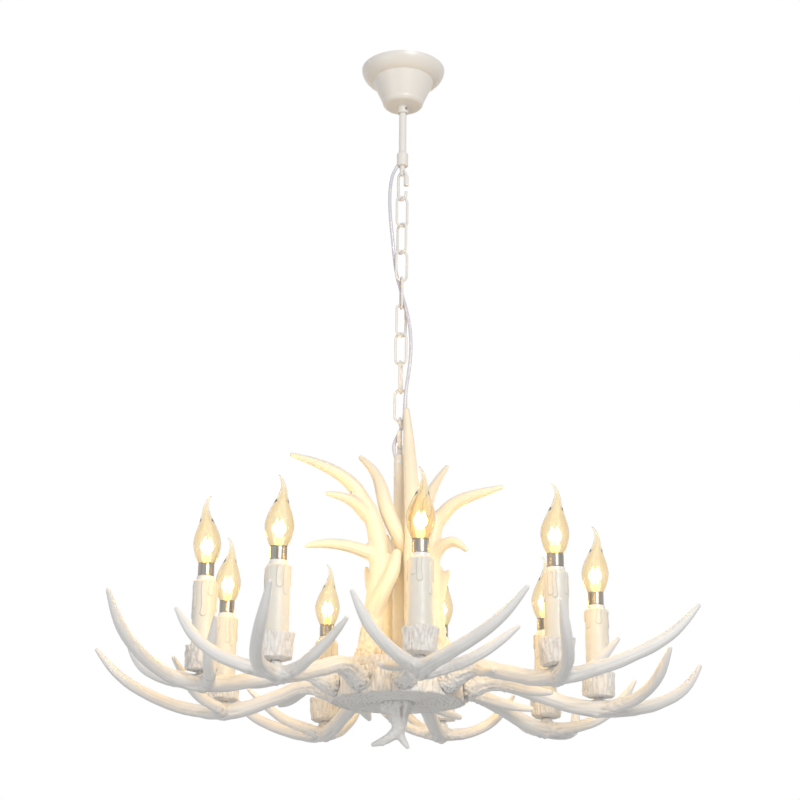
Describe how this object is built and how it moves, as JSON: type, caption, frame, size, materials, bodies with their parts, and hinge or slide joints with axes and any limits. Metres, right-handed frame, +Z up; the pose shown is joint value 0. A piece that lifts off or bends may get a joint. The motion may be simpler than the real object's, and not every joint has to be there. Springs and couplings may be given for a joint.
{
  "type": "antler chandelier",
  "caption": "White moulded antler chandelier: forked arms with candle lights round a bark hub, upright antlers above, hung on a rod and short chain from a bell canopy.",
  "frame": {"origin": "middle of the ceiling bracket's two screw holes, on the ceiling plane", "axes": "+Z up out of the ceiling, -Y towards the viewer, +X to the viewer's right"},
  "size_m": [0.7655, 0.76, 0.9189],
  "materials": {
    "white_metal": "satin off-white paint",
    "zinc_steel": "zinc plated, matt",
    "antler_white": "matt off-white moulded resin with antler grain",
    "bark_white": "matt off-white moulded bark",
    "candle_wax": "cream, soft sheen",
    "holder_white": "glossy white",
    "terminal_plastic": "plain",
    "bulb_glass": "clear warm glass, nickel band",
    "clear_cord": "clear flexible jacket"
  },
  "bodies": {
    "ceiling_fitting": {"ceiling_bracket": "zinc_steel", "down_rod": "white_metal", "rod_nuts": "zinc_steel", "rod_coupler": "white_metal", "canopy_wiring": "terminal_plastic", "power_cord": "clear_cord"},
    "canopy": {"canopy": "white_metal", "canopy_collar": "white_metal", "collar_screw": "zinc_steel"},
    "quick_link_top": {"quick_link_top": "white_metal"},
    "quick_link_top_nut": {"quick_link_top_nut": "white_metal"},
    "chain_link_1": {"chain_link_1": "white_metal"},
    "chain_link_2": {"chain_link_2": "white_metal"},
    "chain_link_3": {"chain_link_3": "white_metal"},
    "chain_link_4": {"chain_link_4": "white_metal"},
    "chain_link_5": {"chain_link_5": "white_metal"},
    "chain_link_6": {"chain_link_6": "white_metal"},
    "chain_link_7": {"chain_link_7": "white_metal"},
    "chain_link_8": {"chain_link_8": "white_metal"},
    "quick_link_bottom": {"quick_link_bottom": "white_metal"},
    "quick_link_bottom_nut": {"quick_link_bottom_nut": "white_metal"},
    "chandelier": {"tube_cap": "white_metal", "centre_tube": "white_metal", "tube_screw": "zinc_steel", "hub_wiring": "terminal_plastic", "hub_plate": "zinc_steel", "hub_nipple": "zinc_steel", "hub_nut": "zinc_steel", "hub_body": "bark_white", "hub_lid": "white_metal", "hub_screws": "zinc_steel", "crown_antler_1": "antler_white", "crown_antler_2": "antler_white", "crown_antler_3": "antler_white", "crown_antler_4": "antler_white", "crown_antler_5": "antler_white", "arm_antler_1": "antler_white", "arm_antler_2": "antler_white", "arm_antler_3": "antler_white", "arm_antler_4": "antler_white", "arm_antler_5": "antler_white", "arm_antler_6": "antler_white", "arm_antler_7": "antler_white", "arm_antler_8": "antler_white", "arm_antler_9": "antler_white", "candle_nipples": "zinc_steel", "candle_cups": "bark_white", "candle_sleeves": "candle_wax", "lampholders": "holder_white", "finial": "antler_white"},
    "bulb_1": {"bulb_1": "bulb_glass"},
    "bulb_2": {"bulb_2": "bulb_glass"},
    "bulb_3": {"bulb_3": "bulb_glass"},
    "bulb_4": {"bulb_4": "bulb_glass"},
    "bulb_5": {"bulb_5": "bulb_glass"},
    "bulb_6": {"bulb_6": "bulb_glass"},
    "bulb_7": {"bulb_7": "bulb_glass"},
    "bulb_8": {"bulb_8": "bulb_glass"},
    "bulb_9": {"bulb_9": "bulb_glass"}
  },
  "joints": [
    {"name": "quick_link_top_swing", "type": "hinge", "parent": "ceiling_fitting", "child": "quick_link_top", "pos_m": [0, 0, -0.1541], "axis": [0.766, -0.6428, 0], "range_deg": [-8, 8], "deforming": ["power_cord"]},
    {"name": "chain_swing_1", "type": "hinge", "parent": "quick_link_top", "child": "chain_link_1", "pos_m": [0, 0, -0.1943], "axis": [0.766, -0.6428, 0], "range_deg": [-8, 8]},
    {"name": "chain_swing_2", "type": "hinge", "parent": "chain_link_1", "child": "chain_link_2", "pos_m": [0, 0, -0.23305], "axis": [0.7431, -0.6691, 0], "range_deg": [-8, 8]},
    {"name": "chain_swing_3", "type": "hinge", "parent": "chain_link_2", "child": "chain_link_3", "pos_m": [0, 0, -0.27205], "axis": [0.9511, 0.309, 0], "range_deg": [-8, 8]},
    {"name": "chain_swing_4", "type": "hinge", "parent": "chain_link_3", "child": "chain_link_4", "pos_m": [0, 0, -0.31105], "axis": [-0.1392, 0.9903, 0], "range_deg": [-8, 8]},
    {"name": "chain_swing_5", "type": "hinge", "parent": "chain_link_4", "child": "chain_link_5", "pos_m": [0, 0, -0.35005], "axis": [0.788, 0.6157, 0], "range_deg": [-8, 8]},
    {"name": "chain_swing_6", "type": "hinge", "parent": "chain_link_5", "child": "chain_link_6", "pos_m": [0, 0, -0.38905], "axis": [0.9272, -0.3746, 0], "range_deg": [-8, 8]},
    {"name": "chain_swing_7", "type": "hinge", "parent": "chain_link_6", "child": "chain_link_7", "pos_m": [0, 0, -0.42805], "axis": [0.1736, 0.9848, 0], "range_deg": [-8, 8]},
    {"name": "chain_swing_8", "type": "hinge", "parent": "chain_link_7", "child": "chain_link_8", "pos_m": [0, 0, -0.46705], "axis": [0.9962, -0.0872, 0], "range_deg": [-8, 8]},
    {"name": "quick_link_bottom_swing", "type": "hinge", "parent": "chain_link_8", "child": "quick_link_bottom", "pos_m": [0, 0, -0.50605], "axis": [0.9962, -0.0872, 0], "range_deg": [-8, 8]},
    {"name": "chandelier_swing", "type": "hinge", "parent": "quick_link_bottom", "child": "chandelier", "pos_m": [0, 0, -0.5424], "axis": [-0.0872, -0.9962, 0], "range_deg": [-8, 8]},
    {"name": "canopy_slide", "type": "slide", "parent": "ceiling_fitting", "child": "canopy", "axis": [0, 0, -1], "range_m": [0, 0.055]},
    {"name": "quick_link_top_nut_screw", "type": "slide", "parent": "quick_link_top", "child": "quick_link_top_nut", "axis": [0, 0, -1], "range_m": [0, 0.0105]},
    {"name": "quick_link_bottom_nut_screw", "type": "slide", "parent": "quick_link_bottom", "child": "quick_link_bottom_nut", "axis": [0, 0, 1], "range_m": [0, 0.0105]},
    {"name": "bulb_1_unscrew", "type": "slide", "parent": "chandelier", "child": "bulb_1", "axis": [0, 0, 1], "range_m": [0, 0.026]},
    {"name": "bulb_2_unscrew", "type": "slide", "parent": "chandelier", "child": "bulb_2", "axis": [0, 0, 1], "range_m": [0, 0.026]},
    {"name": "bulb_3_unscrew", "type": "slide", "parent": "chandelier", "child": "bulb_3", "axis": [0, 0, 1], "range_m": [0, 0.026]},
    {"name": "bulb_4_unscrew", "type": "slide", "parent": "chandelier", "child": "bulb_4", "axis": [0, 0, 1], "range_m": [0, 0.026]},
    {"name": "bulb_5_unscrew", "type": "slide", "parent": "chandelier", "child": "bulb_5", "axis": [0, 0, 1], "range_m": [0, 0.026]},
    {"name": "bulb_6_unscrew", "type": "slide", "parent": "chandelier", "child": "bulb_6", "axis": [0, 0, 1], "range_m": [0, 0.026]},
    {"name": "bulb_7_unscrew", "type": "slide", "parent": "chandelier", "child": "bulb_7", "axis": [0, 0, 1], "range_m": [0, 0.026]},
    {"name": "bulb_8_unscrew", "type": "slide", "parent": "chandelier", "child": "bulb_8", "axis": [0, 0, 1], "range_m": [0, 0.026]},
    {"name": "bulb_9_unscrew", "type": "slide", "parent": "chandelier", "child": "bulb_9", "axis": [0, 0, 1], "range_m": [0, 0.026]}
  ]
}
